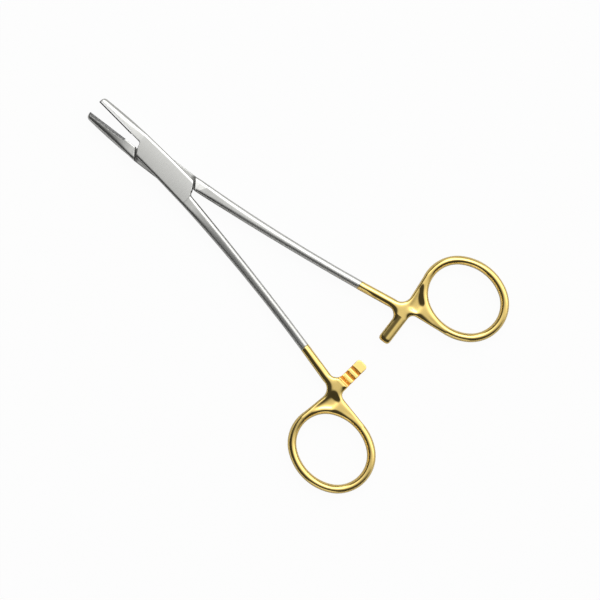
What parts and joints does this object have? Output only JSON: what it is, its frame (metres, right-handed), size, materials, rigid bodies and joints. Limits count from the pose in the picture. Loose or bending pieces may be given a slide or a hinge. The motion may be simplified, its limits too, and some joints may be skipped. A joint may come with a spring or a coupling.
{
  "type": "surgical needle holder",
  "caption": "Ring-handled surgical needle holder with a box lock, ratchet bars, hard-metal jaw inserts and gold-coloured finger rings.",
  "frame": {"origin": "on the pivot axis, in the plane of the underside of the box lock, on which the tool lies", "axes": "+X along the line midway between the jaws at rest, towards the jaw tips; +Z along the pivot axis, up from the surface it lies on; +Y towards the tongue half's jaw and the box half's ring"},
  "size_m": [0.1576, 0.0984, 0.0056],
  "materials": {
    "box_half_steel": "satin stainless steel, gold-coloured plating on the ring and the ratchet",
    "tongue_half_steel": "satin stainless steel, gold-coloured plating on the ring and the ratchet",
    "box_carbide": "serrated hard metal",
    "tongue_carbide": "serrated hard metal",
    "pin_steel": "ground flush with the box"
  },
  "bodies": {
    "box_side": {"box_half": "box_half_steel", "box_jaw_insert": "box_carbide", "pivot_pin": "pin_steel"},
    "tongue_side": {"tongue_half": "tongue_half_steel", "tongue_jaw_insert": "tongue_carbide"}
  },
  "joints": [
    {"name": "box_lock", "type": "hinge", "parent": "box_side", "child": "tongue_side", "pos_m": [0, 0, 0.0028], "axis": [0, 0, 1], "range_deg": [-8, 32]}
  ]
}
